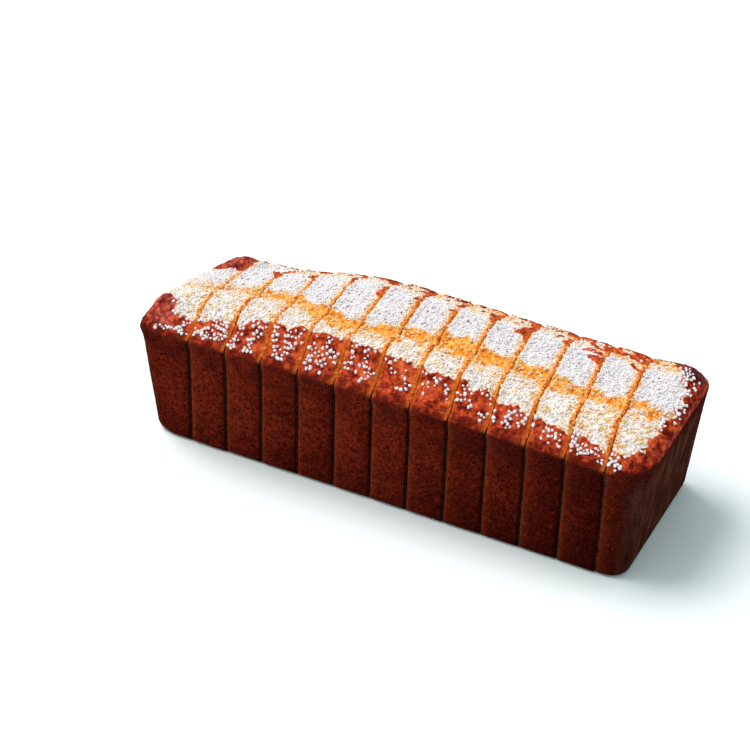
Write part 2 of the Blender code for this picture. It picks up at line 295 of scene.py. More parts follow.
def sugarMaterial():
    look = sugarLook
    recipe = Recipe("nibSugar", 0.45, 0.4)
    cloud = recipe.noise(0.0016, 2.0)
    tint = (recipe.mark("tint") + (cloud - 0.5) * 0.25).clamped()
    tone = recipe.mix(look["shade"], look["white"], cloud.spread(0.30, 0.55))
    stained = recipe.ramp(tint, ((0.20, look["blush"]), (0.50, look["honey"]), (0.95, look["syrup"])))
    recipe.set(Base_Color=recipe.mix(tone, stained, tint.spread(0.02, 0.30)))
    recipe.set(Subsurface_Weight=0.8, Subsurface_Radius=(1.0, 0.95, 0.9), Subsurface_Scale=0.0020)
    recipe.bump(recipe.noise(0.0006, 2.0), 0.0003, 0.4)
    return recipe.material


def looseCrumbMaterial():
    look = crustLook
    recipe = Recipe("looseCrumb", 0.8, 0.2)
    tone = recipe.mark("tint") * 0.7 + recipe.noise(0.0008, 2.0) * 0.3
    recipe.set(Base_Color=recipe.ramp(tone, (
        (0.14, look["shoulderMid"]), (0.32, look["stripDeep"]),
        (0.55, look["strip"]), (0.80, look["stripPale"]))))
    recipe.bump(recipe.noise(0.0004, 2.0), 0.0003)
    return recipe.material


crust = crustMaterial()
crumb = crumbMaterial()
nibSugar = sugarMaterial()
looseCrumb = looseCrumbMaterial()
print("materials: crust, crumb, sugar and loose crumbs")


loaf = {
    "slices": 13,
    "pitch": 0.024,            # one slice and its cut
    "gap": 0.0009,
    "cutLean": 0.0030,
    "skew": (radians(0.4), radians(7.0)),    # slant of the first and the last cut
    "heel": (0.02736, 0.0168),
    "lift": (-0.0004, 0.0005),               # how unevenly the slices stand, up and across
    "shift": 0.0003,
    "baseHalf": 0.0509,        # half the width at the foot and at the lip
    "lipHalf": 0.0524,
    "lipHeight": 0.0840,
    "lipSag": 0.0024,
    "lipBulge": 0.0016,
    "lipRound": 0.0040,
    "baseRound": 0.0034,
    "crest": 0.0150,           # how far the dome rises over the lip, and falls off towards the ends
    "crestSag": 0.0060,
    "front": (-0.0485, -0.0310),             # where the dome starts to rise and is full
    "back": (0.0170, 0.0530),
    "crackY": -0.0120,
    "crackSway": 0.0030,
    "crackDepth": 0.0024,
    "crackWidth": 0.0042,
    "crackFray": (0.0012, 0.005),            # how far and how finely the crack strays
    "dipDepth": 0.0010,        # gutter behind the front lip
    "dipWidth": 0.0022,
    "endFlare": 0.0105,
    "leftSlant": radians(10.0),
    "corner": ((0.0110, 0.0110), (0.0220, 0.0100)),      # front and back, of the left and the right heel
    "baseCorner": 0.0080,
    "run": (0.0120, 0.0170),
    "endLipRound": (0.0070, 0.0030),
    "endBaseRound": 0.0035,
    "roll": ((0.0060, 0.0060), (0.0130, 0.0040)),
    "rollReach": 0.40,
    "dome": (0.05, 0.35),      # share of the dome that is left at an end
    "slump": 0.0130,           # the back left corner sank
    "slumpRun": 0.0900,
    "knobs": ((-0.1526, -0.0414, 0.0035, 0.0105), (-0.1325, 0.0335, 0.0058, 0.0108),
              (0.1490, 0.0390, 0.0094, 0.0108)),       # x, y, height and size
    "leftDrop": 0.0006,        # the top falls a little towards each cut
    "leftReach": 0.0015,
    "rightDrop": 0.0019,
    "rightReach": 0.0028,
    "lump": 0.0011,
    "lumpSize": 0.017,
    "wave": 0.0004,
    "waveSize": 0.030,
    "sink": 0.0012,            # the crust lies this much lower under the sugar
    "sinkFrom": 0.0008,        # but not beside a cut
    "sinkRun": 0.0030,
    "seed": 41,
    "place": Vector((-0.001420, 0.000073, 0.0)),       # from the loaf's own measures to the frame
    "cuts": (35, 151, 63),     # loop cuts across the thickness, the width and the height
    "closer": 0.45,            # how much closer the loops lie at the cuts
    "straight": 0.45,          # share of a heel's loops before its end draws in
    "bendMost": 0.9,
}
lastCut = loaf["slices"] - 2


def smooth(value):
    value = min(max(value, 0.0), 1.0)
    return value * value * (3.0 - 2.0 * value)


def bell(distance, width):
    return exp(-(distance / width) ** 2)


def noiseAt(x, y, layer, size):  # every layer has its own noise, from -1 to 1
    return noise.noise(Vector((x, y, layer)) / size)


def along(x):
    return x / (loaf["slices"] * loaf["pitch"] * 0.5)


def cutPlace(index):
    first = loaf["heel"][0] - 0.5 * (lastCut * loaf["pitch"] + sum(loaf["heel"]))
    return first + index * loaf["pitch"]


def cutSkew(index):
    low, high = loaf["skew"]
    return low + (high - low) * index / lastCut


def cutX(index, y, z):
    lean = z / loaf["lipHeight"]
    reach = y + loaf["baseHalf"]
    if index < 0:
        return cutPlace(0) - loaf["heel"][0] - loaf["endFlare"] * lean + reach * tan(loaf["leftSlant"])
    if index > lastCut:
        return cutPlace(lastCut) + loaf["heel"][1] + loaf["endFlare"] * lean
    return cutPlace(index) + loaf["cutLean"] * lean - reach * tan(cutSkew(index))


def lipHeight(x, y):
    run = loaf["slumpRun"]
    slump = loaf["slump"] * smooth((cutPlace(0) + run - x) / run) * smooth((y + 0.030) / 0.080)
    return loaf["lipHeight"] - loaf["lipSag"] * along(x) ** 2 - slump


def crackLine(x):
    return loaf["crackY"] + loaf["crackSway"] * (0.6 * sin(x / 0.0210) + 0.4 * sin(x / 0.0087 + 1.0))


def knobs(x, y):
    return sum(height * bell(((x - cx) ** 2 + (y - cy) ** 2) ** 0.5, size)
               for cx, cy, height, size in loaf["knobs"])


def topHeight(x, y):
    crest = loaf["crest"] - loaf["crestSag"] * along(x) ** 2
    foot, full = loaf["front"]
    rise = smooth((y - foot) / (full - foot))
    full, end = loaf["back"]
    fall = 1.0 - smooth((y - full) / (end - full))
    stray, straySize = loaf["crackFray"]
    rough = stray * noiseAt(x, 0.0, 0.3, straySize)
    crack = loaf["crackDepth"] * bell(y - crackLine(x) + rough, loaf["crackWidth"])
    gutter = loaf["dipDepth"] * bell(y - loaf["front"][0], loaf["dipWidth"])
    lump = loaf["lump"] * rise * fall * noiseAt(x, y, 0.0, loaf["lumpSize"])
    return lipHeight(x, y) + crest * rise * fall - crack - gutter + lump + knobs(x, y)


def wallHalf(level):
    bulge = loaf["lipBulge"] * bell(level - 0.93, 0.055)
    return loaf["baseHalf"] + (loaf["lipHalf"] - loaf["baseHalf"]) * level + bulge


def roundCorner(a, b, radius):  # a and b are the distances from the two sides
    rim = min(a, b)
    radius -= rim
    far = max(a, b) - rim
    if radius <= 0.0 or far >= radius:
        return a, b
    angle = pi / 4 * (1.0 + far / radius)
    near = rim + radius * (1.0 - sin(angle))
    far = rim + radius * (1.0 - cos(angle))
    return (far, near) if a > b else (near, far)


def follow(line, x):  # height of a drawn line at x, both in millimetres on the line
    x *= 1000.0
    for (x0, y0), (x1, y1) in zip(line, line[1:]):
        if x < x1:
            return 0.001 * (y0 + (y1 - y0) * smooth((x - x0) / (x1 - x0)))
    return 0.001 * line[-1][1]


topping = {
    "front": ((-165, -34), (-140, -41), (-120, -41), (-100, -38), (-80, -34), (-40, -32), (0, -34), (20, -35),
              (60, -36), (80, -38), (100, -40), (130, -42), (140, -44), (148, -43), (154, -37)),
    "crackBack": ((-130, -6), (-110, -3), (-95, -1), (-80, -3), (-62, -7), (-50, -9), (-35, -10),
                  (-25, -12), (-10, -9), (0, -4), (15, -3), (30, 0), (42, -2), (55, -3), (70, -4),
                  (85, -3), (100, -6), (120, -7), (135, -2), (150, -3)),
    "crackFront": ((-130, -12), (-110, -9), (-95, -8), (-80, -9), (-62, -17), (-50, -21), (-35, -22),
                   (-25, -20), (-10, -20), (0, -17), (15, -14), (30, -15), (42, -17), (55, -16),
                   (70, -14), (85, -16), (100, -17), (120, -15), (135, -11), (150, -10)),
    "crackGold": ((-130, 350), (-95, 600), (-80, 700), (-60, 950), (40, 1000), (60, 800), (75, 650),
                  (120, 600), (130, 750), (150, 800)),      # how bare the crack is, in thousandths
    "halo": (0.0075, 0.0040),  # how wide the browned sugar before the crack is, and its patches
    "back": 0.0510,
    "backRow": (0.0455, 0.0375),             # where bare spots start at the back, on most slices and the last
    "leftEnd": 0.0005,         # bare crust at the ends
    "rightEnd": 0.0055,
    "fray": 0.0030,            # how ragged the borders are
    "fraySize": (0.0070, 0.0022),
    "burnFrom": (0.008, 0.020),              # bare brown crust at the back right of a slice
    "burnWide": (0.0060, 0.0115),
    "burnRun": 0.012,
    "burnSize": 0.0060,
    "gilded": (0.6, 1.0),      # how browned the sugar at the back is
    "tone": (0.45, 0.75),      # how light the walls of a slice are
    "toneFall": 0.80,          # and how much darker towards the right end
    "knobs": ((-0.1505, -0.0400, 0.0115, 0.0105, 0.2), (-0.1340, 0.0265, 0.0190, 0.0100, 0.87),
              (0.1530, 0.0430, 0.0085, 0.0120, 0.4)),       # x, y, the two half widths and the turn
    "knobSize": 0.0055,
}


def bareKnob(x, y):  # 1 on the bare, wrinkled swellings at the corners
    fray = 0.5 * noiseAt(x, y, 3.0, topping["knobSize"])
    bare = 0.0
    for centreX, centreY, wide, narrow, turn in topping["knobs"]:
        dx, dy = x - centreX, y - centreY
        a = (dx * cos(turn) + dy * sin(turn)) / wide
        b = (dy * cos(turn) - dx * sin(turn)) / narrow
        bare = max(bare, smooth((1.15 - (a * a + b * b) ** 0.5 + 0.4 * fray) / 0.30))
    return bare


def haloAt(x, y):  # browned sugar in front of the crack
    wide, patches = topping["halo"]
    halo = bell(y - follow(topping["crackFront"], x), wide) * follow(topping["crackGold"], x)
    return halo * smooth(0.5 + 1.8 * noiseAt(x, y, 17.0, patches))


def coverAt(piece, x, y):  # how sugared the top is, how bare its crack, and how bare a knob is
    left, right = piece.fromCuts(x, y)
    coarse, fine = topping["fraySize"]
    fray = topping["fray"] * noiseAt(x, y, 0.7, coarse)
    fray += 0.4 * topping["fray"] * noiseAt(x, y, 5.7, fine)
    inFront = smooth((y - follow(topping["front"], x) + fray) / 0.0022 + 0.5)
    behind = smooth((topping["back"] - y + fray) / 0.0030 + 0.5)
    if piece.first:
        inFront *= smooth((left - topping["leftEnd"] + fray) / 0.0020)
    if piece.last:
        inFront *= smooth((right - topping["rightEnd"] + 1.5 * fray) / 0.0030)
    burnt = smooth((y - piece.burnFrom) / topping["burnRun"])
    reach = piece.burnWide * burnt * (0.7 + 1.6 * noiseAt(x, y, 8.0, topping["burnSize"])) + 1.5 * fray
    unburnt = 0.15 + 0.85 * smooth((right - reach) / 0.0030 + 0.5)
    backRow = smooth((y + 2.0 * fray - topping["backRow"][piece.number > 9]) / 0.0040)
    unburnt *= 1.0 - 0.85 * backRow * smooth(0.60 + 2.0 * noiseAt(x, y, 2.0, topping["burnSize"]))
    knob = bareKnob(x, y) if piece.heel else 0.0
    field = inFront * behind * unburnt * (1.0 - knob)
    crack = smooth((y - follow(topping["crackFront"], x) + 2.2 * fray) / 0.0045 + 0.5)
    crack *= smooth((follow(topping["crackBack"], x) - y + 1.6 * fray) / 0.0042 + 0.5)
    return field, crack * follow(topping["crackGold"], x), knob


class Slice:
    def __init__(self, number):
        self.number = number
        self.name = "slice_%02d" % (number + 1)
        self.first = number == 0
        self.last = number == loaf["slices"] - 1
        self.heel = self.first or self.last
        end = 0 if self.first else 1
        dice = Random(loaf["seed"] + number)
        self.lift = dice.uniform(*loaf["lift"])
        self.shift = dice.uniform(-loaf["shift"], loaf["shift"])
        self.corner, self.run, self.dome = loaf["corner"][end], loaf["run"][end], loaf["dome"][end]
        self.endLipRound, self.rolled = loaf["endLipRound"][end], loaf["roll"][end]
        self.thick = self.xAt(1.0, 0.0, 0.0) - self.xAt(0.0, 0.0, 0.0)
        self.burnFrom = dice.uniform(*topping["burnFrom"])
        self.burnWide = dice.uniform(*topping["burnWide"])
        self.gilded = 0.0 if number in (0, 1) else dice.uniform(*topping["gilded"])
        self.tone = dice.uniform(*topping["tone"]) - topping["toneFall"] * smooth((number - 6) / 5.0)
        self.known = {}

    def sides(self, y, z):
        left = cutX(self.number - 1, y, z) + (0.0 if self.first else loaf["gap"] / 2)
        right = cutX(self.number, y, z) - (0.0 if self.last else loaf["gap"] / 2)
        return left, right

    def fromCuts(self, x, y):
        left, right = self.sides(y, loaf["lipHeight"])
        return x - left, right - x

    def xAt(self, part, y, z):
        left, right = self.sides(y, z)
        return left + (right - left) * part

    def drop(self, part):
        left = 0.0 if self.first else loaf["leftDrop"] * exp(-part * self.thick / loaf["leftReach"])
        right = 0.0 if self.last else loaf["rightDrop"] * exp(-(1.0 - part) * self.thick / loaf["rightReach"])
        return left + right - self.lift

    def roll(self, part, v):  # how round a heel is over its lip
        away = part if self.last else 1.0 - part
        return self.rolled[v > 0.0] * smooth(away / loaf["rollReach"]) if self.heel else 0.0

    def station(self, step):  # step from 0 to 1 over the thickness, as its part and how far an end draws in
        if not self.heel:
            pull = 0.5 - 0.5 * cos(pi * step)
            return step + (pull - step) * loaf["closer"], 0.0
        if self.first:
            step = 1.0 - step
        bend = min(self.run / self.thick, loaf["bendMost"])
        straight = loaf["straight"]
        if step < straight:
            part, inset = step / straight * (1.0 - bend), 0.0
        else:
            angle = pi / 2 * (step - straight) / (1.0 - straight)
            part, inset = 1.0 - bend * (1.0 - sin(angle)), 1.0 - cos(angle)
        return (1.0 - part if self.first else part), inset

    def above(self, step, v):  # the crust over one spot, worked out once for all the levels under it
        key = round(step, 5), round(v, 5)
        if key not in self.known:
            part, inset = self.station(step)
            middle = self.xAt(part, 0.0, 0.0)
            y = v * loaf["lipHalf"]
            x = self.xAt(part, y, loaf["lipHeight"])
            field, crack, knob = coverAt(self, x, y)
            left, right = self.fromCuts(x, y)
            edge = min(1.0 if self.first else left, 1.0 if self.last else right)
            top = topHeight(middle, y) - self.drop(part)
            top -= loaf["sink"] * field * smooth((edge - loaf["sinkFrom"]) / loaf["sinkRun"])
            self.known[key] = part, inset, middle, top, field, crack, knob
        return self.known[key]

    def point(self, step, v, level):
        part, inset, middle, top, field, crack, knob = self.above(step, v)
        wave = loaf["wave"] * noiseAt(middle, v * 0.3, level * loaf["lipHeight"], loaf["waveSize"])
        half = wallHalf(level) + wave
        y = v * half
        z = level * top
        aside = half - abs(y)
        if level > 0.5:
            aside, under = roundCorner(aside, top - z, max(loaf["lipRound"], self.roll(part, v)))
            z = top - under
        else:
            aside, z = roundCorner(aside, z, loaf["baseRound"])
        y = (half - aside) * (1 if v > 0 else -1)
        deep = min(half - abs(v) * half, level * top, (1.0 - level) * top)
        if inset > 0.0:
            low, high = loaf["endBaseRound"] * inset, self.endLipRound * inset
            dome = max(z - lipHeight(middle, y), 0.0)
            wall = (z - dome) * (1.0 - (low + high) / loaf["lipHeight"])
            z = low + wall + dome * (1.0 - (1.0 - self.dome) * inset)
            corner = self.corner[y > 0.0] - loaf["baseCorner"]
            corner = loaf["baseCorner"] + corner * min(z / loaf["lipHeight"], 1.0)
            y *= 1.0 - corner * inset / loaf["lipHalf"]
        y += self.shift
        return Vector((self.xAt(part, y, z), y, z)), (field, crack, knob, deep)


relief = {
    "field": (0.00022, 0.0042, 0.00020, 0.0018),     # height and size of the coarse and the fine lumps
    "shoulder": (0.00028, 0.0046, 0.00046, 0.0015),
    "wall": (0.00012, 0.0034, 0.00010, 0.0015),
    "crack": 0.00090,          # crumbly crust in the crack, and beside a cut
    "crackSize": 0.0020,
    "strip": 0.00035,
    "stripSize": 0.0012,
    "tear": 0.00050,           # how ragged the walls are at a cut
    "tearSize": (0.0018, 0.0007),
    "lap": 0.00040,            # how far the top crust leans over a cut
    "tuck": 0.0008,            # how far the walls round in at a cut
    "tuckReach": 0.0010,
    "wrinkle": 0.0007,         # on the bare knobs
    "wrinkleSize": 0.0044,
    "poreSize": 0.0065,        # pores of the crumb
    "poreDepth": 0.0009,
}
paint = {                      # where the colours of the crust change
    "lipRun": 0.0085,          # from the top down to the wall
    "rim": (0.0450, 0.36),     # the outer crust of the top is darker: from this y, and how much
    "endRim": (0.1535, 0.18),  # and the same at the right end, along x
    "rimRun": 0.0060,
    "strip": (0.0021, 0.0009),               # bare strips at the right of a slice on the top; down the walls they are narrower, a painted dark line of shade at the cut
    "shade": (0.24, 0.0070),   # painted shade: a soft dark side of the walls beside the right cut
    "edge": (0.0008, 0.0004),  # thin bare strips at the left of the top, and wider down the walls, where they are a painted highlight
    "edgeFade": 0.62,          # and fainter
    # painted light: a broad lighter band down the walls from the left cut of each slice
    "paintedLeftLight": (0.20, 0.0055),
    "end": (0.25, 0.60),       # how far a wall has to face the end to have its colour
    "endRun": (0.002, 0.016),
    "burntRim": (0.026, 0.010, 0.002, 0.004),     # dark band under the lip: foot, run, top and its run
    "burntSize": 0.012,
    "bedRight": (0.0016, 0.0018),                 # bare beside the cuts: from here, over this run
    "bedLeft": 0.0010,
    "gildedFrom": (0.027, 0.008),
    "foot": (0.45, 0.040),     # the walls get darker towards the foot
}
markNames = ("wall", "field", "bed", "end", "rim", "knob", "tone", "leftEdge", "rightEdge", "inside")
faceAt = 0.9999                # from the middle of the block to its faces


def reliefAt(place, wall, field, crack, knob):
    height = crack * relief["crack"] * noise.noise(place / relief["crackSize"])
    shares = ("field", (1.0 - wall) * field), ("shoulder", (1.0 - wall) * (1.0 - field)), ("wall", wall)
    for kind, share in shares:
        if share > 0.01:
            coarse, coarseSize, fine, fineSize = relief[kind]
            height += share * coarse * (0.6 - 2.4 * abs(noise.noise(place / coarseSize)))
            height += share * fine * noise.noise(place / fineSize)
    if knob > 0.01:
        height += knob * relief["wrinkle"] * (0.3 - 2.2 * abs(noise.noise(place / relief["wrinkleSize"])))
    return height


def poreAt(place):
    distances, centres = noise.voronoi(place / relief["poreSize"])
    size = 0.10 + 0.30 * (noise.noise(centres[0] * 3.7) + 0.2)
    return relief["poreDepth"] * smooth(1.0 - distances[0] / max(size, 0.05))


def keptIn(place):  # a spot of the loaf, held inside the box of the CAD
    limits = zip(place + loaf["place"], *cadBox)
    return Vector([min(max(value, low), high) for value, low, high in limits]) - loaf["place"]


def cakeBlock():
    block = bmesh.new()
    bmesh.ops.create_cube(block, size=2.0)
    for axis, cuts in enumerate(loaf["cuts"]):
        uncut = [edge for edge in block.edges if abs((edge.verts[0].co - edge.verts[1].co)[axis]) > 1.9]
        bmesh.ops.subdivide_edges(block, edges=uncut, cuts=cuts, use_grid_fill=True)
    return block


def wallAt(place, lip):  # 0 on the top, 1 on the walls
    side, sideShare = paint["rim"]
    end, endShare = paint["endRim"]
    sideRim = sideShare * smooth((abs(place.y) - side) / paint["rimRun"])
    endRim = endShare * smooth((place.x - end) / paint["rimRun"])
    return max(smooth((lip - place.z) / paint["lipRun"]), sideRim, endRim)


def edgesAt(fromLeft, fromRight, wall):  # how near the two cuts are: strips on the top, and down the walls a painted highlight at the left and painted shade at the right
    wide, less = paint["strip"]
    dark, darkWide = paint["shade"]
    narrow, more = paint["edge"]
    paintedLeftLight, paintedLeftLightWide = paint["paintedLeftLight"]
    rightEdge = bell(fromRight, wide - less * wall) + dark * wall * bell(fromRight, darkWide)
    leftEdge = (1.0 - paint["edgeFade"] * wall) * exp(-fromLeft / (narrow + more * wall))
    return leftEdge + paintedLeftLight * wall * exp(-fromLeft / paintedLeftLightWide), rightEdge


def endAt(piece, place, normal, lip):  # 1 on the wall of a heel's end
    if not piece.heel:
        return 0.0
    facing, facingRun = paint["end"]
    under, underRun = paint["endRun"]
    outward = -normal.x if piece.first else normal.x
    return smooth((outward - facing) / facingRun) * smooth((lip - under - place.z) / underRun)


def burntRim(place, lip):  # dark patches just under the lip
    foot, footRun, top, topRun = paint["burntRim"]
    rim = smooth((place.z - lip + foot) / footRun) * smooth((lip - top - place.z) / topRun)
    return rim * smooth(0.5 + 1.6 * noise.noise(place / paint["burntSize"]))


def bedAt(piece, place, field, crack, fromLeft, fromRight):  # how white the crust is under the sugar
    right, rightRun = paint["bedRight"]
    behind, behindRun = paint["gildedFrom"]
    bed = field * max(1.0 - 1.5 * crack, 0.0) * smooth((fromRight - right) / rightRun)
    bed *= smooth(fromLeft / paint["bedLeft"]) * (1.0 - 0.8 * haloAt(place.x, place.y))
    return bed * (1.0 - 0.7 * piece.gilded * smooth((place.y - behind) / behindRun))


def fray(push, place, u, w, wall):  # the skin is torn back at a cut, or stands over it
    coarse, fine = relief["tearSize"]
    ragged = 0.5 + noise.noise(place / coarse) + 0.6 * noise.noise(place / fine)
    push.x = -u * relief["tear"] * max(ragged, 0.0) * wall
    push.x += u * relief["lap"] * min(max(1.0 - ragged, 0.0), 1.0) * (1.0 - wall) * (w > faceAt)


def makeSlice(piece, block):
    bm = block.copy()
    marks = [bm.verts.layers.float.new(name) for name in markNames]
    openCuts = [side for side in (-1, 1) if not (piece.first and side < 0 or piece.last and side > 0)]
    for face in bm.faces:
        u = face.calc_center_median().x
        face.smooth = True
        face.material_index = 1 if any(u * side > faceAt for side in openCuts) else 0
    params = []
    for vert in bm.verts:
        u, v, w = vert.co
        vert.co, cover = piece.point(0.5 + 0.5 * u, v, 0.5 + 0.5 * w)
        params.append((vert, u, v, w, cover))
    bm.normal_update()
    for vert, u, v, w, (field, crack, knob, deep) in params:
        place = vert.co.copy()
        onCut = any(u * side > faceAt for side in openCuts)
        skin = max(abs(v), abs(w)) > faceAt or not onCut
        lip = lipHeight(place.x, place.y)
        wall = wallAt(place, lip)
        left, right = piece.sides(place.y, place.z)
        fromLeft = 1.0 if piece.first else place.x - left
        fromRight = 1.0 if piece.last else right - place.x
        leftEdge, rightEdge = edgesAt(fromLeft, fromRight, wall)
        end = endAt(piece, place, vert.normal, lip)
        if skin:
            height = reliefAt(place, wall, field, crack, knob)
            height += relief["strip"] * (1.0 - wall) * rightEdge * noise.noise(place / relief["stripSize"])
            push = vert.normal * height
            if onCut:
                fray(push, place, u, w, wall)
            if w > -faceAt:
                vert.co += push
            if abs(v) > faceAt:
                reach = relief["tuckReach"]
                tuck = relief["tuck"] * wall * (exp(-fromLeft / reach) + exp(-fromRight / reach))
                vert.co.y -= tuck * v
            vert.co = keptIn(vert.co)
        else:
            vert.co.x -= u * poreAt(place)
        darker, footRun = paint["foot"]
        tone = piece.tone - darker * smooth(1.0 - place.z / footRun)
        bed = bedAt(piece, place, field, crack, fromLeft, fromRight)
        values = (wall, field, bed, end, burntRim(place, lip), knob, tone, leftEdge, rightEdge,
                  0.0 if skin else deep)
        for layer, value in zip(marks, values):
            vert[layer] = value
    bmesh.ops.translate(bm, vec=loaf["place"], verts=bm.verts[:])
    mesh = bpy.data.meshes.new(piece.name + "_cake")
    bm.to_mesh(mesh)
    mesh.materials.append(crust)
    mesh.materials.append(crumb)
    thing = bpy.data.objects.new(piece.name + "_cake", mesh)
    bpy.context.scene.collection.objects.link(thing)
    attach(thing, "root")
    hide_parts(piece.name)
    surface = BVHTree.FromBMesh(bm)
    bm.free()
    return surface


block = cakeBlock()
pieces = [Slice(number) for number in range(loaf["slices"])]
surfaces = []
for piece in pieces:
    surfaces.append(makeSlice(piece, block))
block.free()
print("cake:", len(surfaces), "slices")


sugar = {
    "kinds": 8,
    "roundness": 0.30,
    "stretch": (0.75, 1.50),   # how long a nib is for its width
    "spread": 0.34,            # how much the grains differ in size
    "bed": {"radius": 0.00092, "spacing": 0.00122, "rise": -0.12},    # fine grains, close together
    "heap": {"radius": 0.00084, "spacing": 0.00260, "rise": 0.40},    # grains that lie on the bed
    "loose": {"radius": 0.00102, "spacing": 0.00162, "rise": 0.36},   # nibs on the bare shoulders
    "leftBare": 0.0002,        # bare strips beside the cuts
    "rightBare": 0.0021,
    "bareRun": 0.0008,
    "foremost": -0.0515,       # nothing lies before this y
    "clumpSize": 0.0055,
    "crackSize": (0.0038, 0.0016),           # patches of bare crust in the crack
    "patchSize": 0.0035,
    "warmSize": 0.0052,
    "bareSway": (0.0009, 0.0030),
    "syrupRun": 0.0022,        # how far from them the grains are stained
    "behind": (0.026, 0.010, 0.0080),        # browned sugar: from this y, how ragged, and over this run
    "warmFrom": (0.06, 0.08),  # warmer grains towards the right end
    "nearest": 0.35,           # a nib lies where the crust faces up at least this much
    "room": 1.7,               # how many radii a nib needs up to the box
    "yMost": 0.053,
    "overhang": 0.106,
    "tries": 6,
    "seed": 7,
    "clusters": (              # x, y and reach in millimetres, and how close the nibs lie
        (-139, -46, 8, 1.8), (-118, -42, 7, 0.9), (-108, -42, 5, 0.8), (-94, -41.5, 7, 0.95),
        (-84, -43, 4, 0.6), (-73, -40.5, 6, 0.95), (-66, -42, 4, 0.8), (-54, -39, 5, 0.5),
        (-40, -42, 5.5, 1.0), (-34, -38, 4, 0.5), (-22, -40, 4, 0.4), (-12, -40.5, 4.5, 0.8),
        (2, -39, 4, 0.25), (12, -40.5, 3.5, 0.6), (25, -38, 4, 0.2), (36, -41, 3.5, 0.6),
        (48, -39.5, 4, 0.25), (60, -41.5, 4, 0.6), (67, -43, 3, 0.3), (78, -42, 4, 0.2),
        (87, -42.5, 3.5, 0.6), (98, -43, 4, 0.3), (107, -45, 3.5, 0.95), (118, -43, 3, 0.5),
        (128, -47.5, 4.5, 1.6), (141, -48.5, 3.5, 1.8), (155, -10, 4, 1.6), (157, 1, 5, 2.0),
        (159, 13, 6, 2.4), (159, 21, 5.5, 2.4), (155, 28, 4, 1.2), (151, 34, 3.5, 0.7)),
}


def nibShape(kind, dice):
    bm = bmesh.new()
    if kind % 2:
        bmesh.ops.create_cube(bm, size=1.5)
        bmesh.ops.bevel(bm, geom=bm.edges[:], offset=0.32, offset_type="OFFSET", segments=1,
                        profile=0.5, affect="EDGES", material=-1)
    else:
        bmesh.ops.create_icosphere(bm, subdivisions=1, radius=1.08)
    for vert in bm.verts:
        vert.co *= 1.0 + dice.uniform(-sugar["roundness"], sugar["roundness"])
    bmesh.ops.scale(bm, vec=(dice.uniform(*sugar["stretch"]), 1.0, dice.uniform(0.7, 1.0)), verts=bm.verts[:])
    corners = np.array([vert.co[:] for vert in bm.verts])
    faces = [[vert.index for vert in face.verts] for face in bm.faces]
    bm.free()
    return corners, faces


def joinCopies(name, shapes, copies, material):  # one mesh of many small copies: place, kind and tint
    corners, faces, tints = [], [], []
    count = 0
    for place, kind, tint in copies:
        shape, shapeFaces = shapes[kind]
        turned = np.array(place.to_3x3())
        corners.append(shape @ turned.T + np.array(place.translation))
        faces += [[index + count for index in face] for face in shapeFaces]
        tints += [tint] * len(shape)
        count += len(shape)
    mesh = bpy.data.meshes.new(name)
    mesh.from_pydata(np.concatenate(corners).tolist(), [], faces)
    mesh.attributes.new("tint", "FLOAT", "POINT").data.foreach_set("value", tints)
    mesh.polygons.foreach_set("use_smooth", [len(face) != 4 for face in faces])
    mesh.materials.append(material)
    thing = bpy.data.objects.new(name, mesh)
    bpy.context.scene.collection.objects.link(thing)
    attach(thing, "root")
    return len(faces)


def looseAt(x, y):
    lie = sum(close * bell(((x * 1000 - cx) ** 2 + (y * 1000 - cy) ** 2) ** 0.5, reach)
              for cx, cy, reach, close in sugar["clusters"] if abs(x * 1000 - cx) < 14)
    clump = smooth(0.5 + 3.0 * noiseAt(x, y, 21.0, sugar["clumpSize"]))
    return lie * clump * (y > sugar["foremost"])


def besideCuts(piece, left, right, x, y):  # 0 on the bare strips beside the cuts, else 1
    sway, swaySize = sugar["bareSway"]
    strip = 1.0
    if not piece.first:
        strip *= smooth((left - sugar["leftBare"]) / sugar["bareRun"])
    if not piece.last:
        ragged = sway * noiseAt(x, y, 31.0, swaySize)
        strip *= smooth((right - sugar["rightBare"] + ragged) / sugar["bareRun"])
    return strip


def chanceAt(piece, layer, x, y):  # how likely a nib stays where it falls, and how much syrup it took up
    left, right = piece.fromCuts(x, y)
    strip = besideCuts(piece, left, right, x, y)
    field, crack, knob = coverAt(piece, x, y)
    halo = haloAt(x, y)
    coarse, fine = sugar["crackSize"]
    bare = crack * (0.50 + 0.42 * crack + 1.3 * noiseAt(x, y, 9.0, coarse)) + 0.45 * halo
    bare += (crack + halo) * 1.2 * noiseAt(x, y, 14.0, fine)
    patchy = 0.5 + 0.5 * noiseAt(x, y, 12.0, sugar["patchSize"])
    inField = smooth(field * 1.5 - 0.35) * min(max(1.0 - bare, 0.0), 1.0)
    front = smooth((follow(topping["crackFront"], x) - y + 0.002) / 0.004)
    browned, sway, run = sugar["behind"]
    behind = piece.gilded * smooth((y - browned + sway * (patchy - 0.5)) / run)
    warmFrom, warmRun = sugar["warmFrom"]
    warm = smooth(0.35 + 2.2 * noiseAt(x, y, 19.0, sugar["warmSize"]))
    warm = warm * (0.6 + 0.6 * smooth((x - warmFrom) / warmRun))
    tint = 0.66 * crack + front * (0.16 + 0.34 * warm) + 0.25 * halo
    tint += 0.55 * exp(-max(right - sugar["rightBare"], 0.0) / sugar["syrupRun"])
    tint += 0.75 * behind * patchy
    inField *= 1.0 - 0.45 * behind * patchy
    if layer == "bed":
        return inField * strip * (1.0 - 0.16 * front), tint
    if layer == "heap":
        if field > 0.05 and y > 0.020:
            inField = max(inField, 0.30 * (1.0 - knob))       # a few nibs on the browned spots
        return inField * strip * (0.25 + 0.75 * patchy) * (1.0 - 0.4 * crack), tint * 0.8
    return looseAt(x, y) * (1.0 - inField) * strip * (1.0 if piece.last else 1.0 - 0.9 * knob), 0.02


